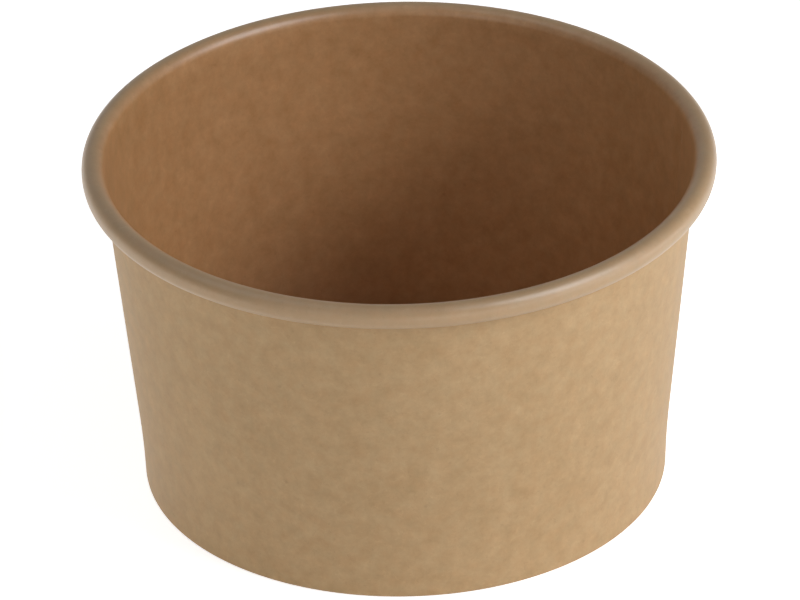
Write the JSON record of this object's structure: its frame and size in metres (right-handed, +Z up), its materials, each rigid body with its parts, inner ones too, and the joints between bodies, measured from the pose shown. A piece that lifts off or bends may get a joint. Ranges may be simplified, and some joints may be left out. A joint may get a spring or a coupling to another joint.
{
  "type": "paper soup cup",
  "caption": "Round tapered paper soup cup, open at the top, with a rolled rim for a lid, a lapped side seam and a recessed bottom held in a folded hem.",
  "frame": {"origin": "centre of the ring that the cup stands on, at table level", "axes": "+Z up along the cup's axis, +X towards the side seam, and the picture looks along +Y from above"},
  "size_m": [0.115, 0.115, 0.0655],
  "materials": {
    "kraft_wall": "matte",
    "kraft_bottom": "matte"
  },
  "bodies": {
    "root": {"sidewall": "kraft_wall", "bottom_disc": "kraft_bottom"}
  },
  "joints": []
}
